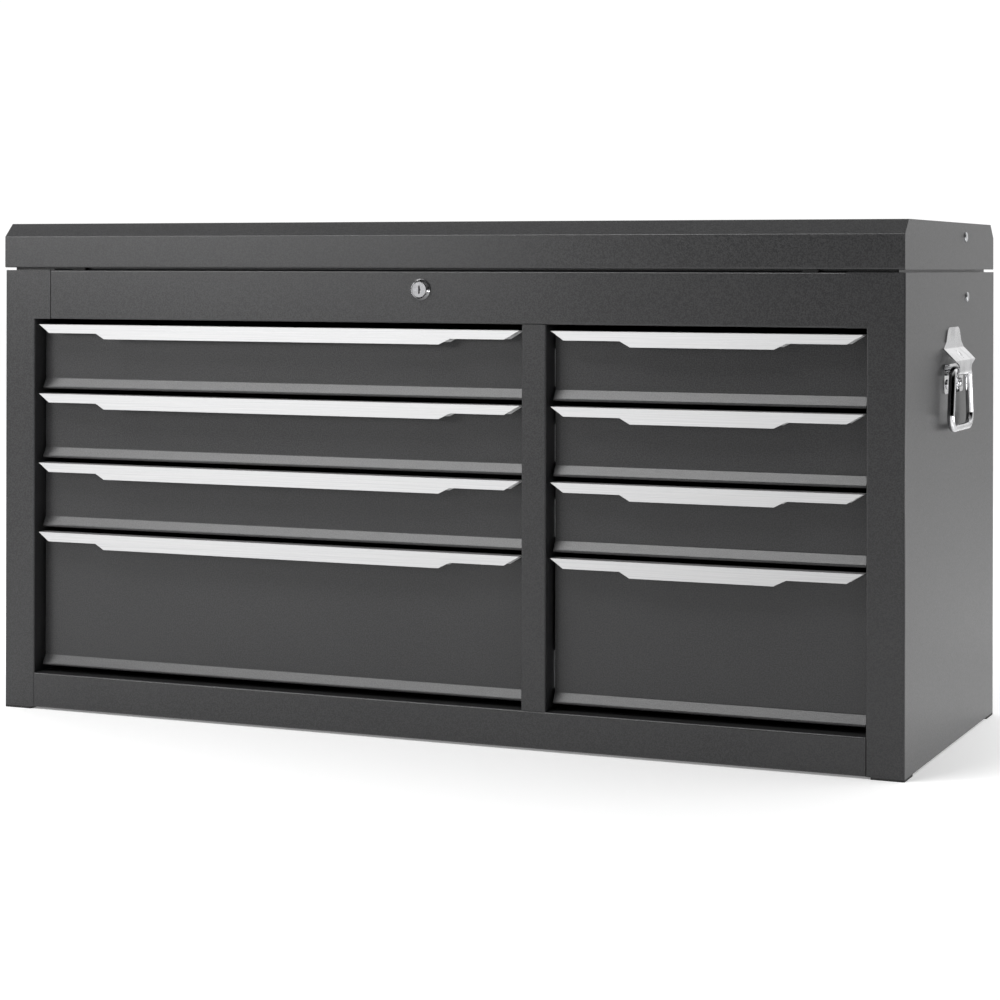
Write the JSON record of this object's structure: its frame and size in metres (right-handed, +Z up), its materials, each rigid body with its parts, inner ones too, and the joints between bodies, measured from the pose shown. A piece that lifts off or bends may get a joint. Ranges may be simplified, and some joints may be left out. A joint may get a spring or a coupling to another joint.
{
  "type": "tool chest",
  "caption": "Steel top tool chest with two columns of drawers on runners, each with a full-width handle strip, a hinged lid over a till, a key lock and drop handles.",
  "frame": {"origin": "centre of the footprint, on the surface that the feet stand on", "axes": "+X to the right as seen from the front, -Y towards the front, +Z up"},
  "size_m": [0.9346, 0.362, 0.48],
  "materials": {
    "powder_coat": "fine textured dark charcoal powder coat, satin",
    "handle_aluminium": "brushed along its length",
    "chrome": "bright chrome plate",
    "zinc": "bright zinc plate, satin",
    "rubber": "matt black rubber"
  },
  "bodies": {
    "cabinet": {"left_side_panel": "powder_coat", "right_side_panel": "powder_coat", "back_panel": "powder_coat", "base_panel": "powder_coat", "top_rail": "powder_coat", "bottom_rail": "powder_coat", "centre_divider": "powder_coat", "till_floor": "powder_coat", "rear_uprights": "powder_coat", "left_outer_runners": "zinc", "right_outer_runners": "zinc", "lock_body": "chrome", "lock_nut": "zinc", "left_handle_bracket": "chrome", "right_handle_bracket": "chrome", "handle_rivets": "chrome", "stay_body_rivets": "zinc", "feet": "rubber", "hinge_body_leaf": "zinc", "hinge_pin": "zinc", "lid_bumpers": "rubber"},
    "lid": {"lid_skin": "powder_coat", "left_lid_end": "powder_coat", "right_lid_end": "powder_coat", "hinge_lid_leaf": "zinc", "lid_catch": "zinc", "stay_lid_rivets": "zinc"},
    "stay_lower": {"left_stay_lower_link": "zinc", "right_stay_lower_link": "zinc", "stay_elbow_rivets": "zinc"},
    "stay_upper": {"left_stay_upper_link": "zinc", "right_stay_upper_link": "zinc"},
    "lock_core": {"lock_plug": "chrome", "lock_cam": "zinc"},
    "left_bail": {"left_bail": "chrome"},
    "right_bail": {"right_bail": "chrome"},
    "left_drawer_1": {"left_drawer_1_box": "powder_coat", "left_drawer_1_handle": "handle_aluminium", "left_drawer_1_runners": "zinc"},
    "left_drawer_2": {"left_drawer_2_box": "powder_coat", "left_drawer_2_handle": "handle_aluminium", "left_drawer_2_runners": "zinc"},
    "left_drawer_3": {"left_drawer_3_box": "powder_coat", "left_drawer_3_handle": "handle_aluminium", "left_drawer_3_runners": "zinc"},
    "left_drawer_4": {"left_drawer_4_box": "powder_coat", "left_drawer_4_handle": "handle_aluminium", "left_drawer_4_runners": "zinc"},
    "right_drawer_1": {"right_drawer_1_box": "powder_coat", "right_drawer_1_handle": "handle_aluminium", "right_drawer_1_runners": "zinc"},
    "right_drawer_2": {"right_drawer_2_box": "powder_coat", "right_drawer_2_handle": "handle_aluminium", "right_drawer_2_runners": "zinc"},
    "right_drawer_3": {"right_drawer_3_box": "powder_coat", "right_drawer_3_handle": "handle_aluminium", "right_drawer_3_runners": "zinc"},
    "right_drawer_4": {"right_drawer_4_box": "powder_coat", "right_drawer_4_handle": "handle_aluminium", "right_drawer_4_runners": "zinc"}
  },
  "joints": [
    {"name": "lid_hinge", "type": "hinge", "parent": "cabinet", "child": "lid", "pos_m": [0, 0.1785, 0.43525], "axis": [-1, 0, 0], "range_deg": [0, 90]},
    {"name": "stay_lower_swing", "type": "hinge", "parent": "cabinet", "child": "stay_lower", "pos_m": [0, 0.059, 0.411], "axis": [-1, 0, 0], "range_deg": [0, 90]},
    {"name": "stay_upper_swing", "type": "hinge", "parent": "lid", "child": "stay_upper", "pos_m": [0, 0.0535, 0.467], "axis": [-1, 0, 0], "range_deg": [-90, 0]},
    {"name": "lock_turn", "type": "hinge", "parent": "cabinet", "child": "lock_core", "pos_m": [0, -0.177, 0.417], "axis": [0, -1, 0], "range_deg": [0, 90]},
    {"name": "right_bail_swing", "type": "hinge", "parent": "cabinet", "child": "right_bail", "pos_m": [0.4624, 0.0005, 0.345], "axis": [0, -1, 0], "range_deg": [-4, 90]},
    {"name": "left_bail_swing", "type": "hinge", "parent": "cabinet", "child": "left_bail", "pos_m": [-0.4624, 0.0005, 0.345], "axis": [0, 1, 0], "range_deg": [-4, 90]},
    {"name": "left_drawer_1_slide", "type": "slide", "parent": "cabinet", "child": "left_drawer_1", "axis": [0, -1, 0], "range_m": [0, 0.24]},
    {"name": "left_drawer_2_slide", "type": "slide", "parent": "cabinet", "child": "left_drawer_2", "axis": [0, -1, 0], "range_m": [0, 0.24]},
    {"name": "left_drawer_3_slide", "type": "slide", "parent": "cabinet", "child": "left_drawer_3", "axis": [0, -1, 0], "range_m": [0, 0.24]},
    {"name": "left_drawer_4_slide", "type": "slide", "parent": "cabinet", "child": "left_drawer_4", "axis": [0, -1, 0], "range_m": [0, 0.24]},
    {"name": "right_drawer_1_slide", "type": "slide", "parent": "cabinet", "child": "right_drawer_1", "axis": [0, -1, 0], "range_m": [0, 0.24]},
    {"name": "right_drawer_2_slide", "type": "slide", "parent": "cabinet", "child": "right_drawer_2", "axis": [0, -1, 0], "range_m": [0, 0.24]},
    {"name": "right_drawer_3_slide", "type": "slide", "parent": "cabinet", "child": "right_drawer_3", "axis": [0, -1, 0], "range_m": [0, 0.24]},
    {"name": "right_drawer_4_slide", "type": "slide", "parent": "cabinet", "child": "right_drawer_4", "axis": [0, -1, 0], "range_m": [0, 0.24]}
  ],
  "couplings": [
    {"joint": "stay_lower_swing", "follows": "lid_hinge", "ratio": 1},
    {"joint": "stay_upper_swing", "follows": "lid_hinge", "ratio": -1}
  ]
}
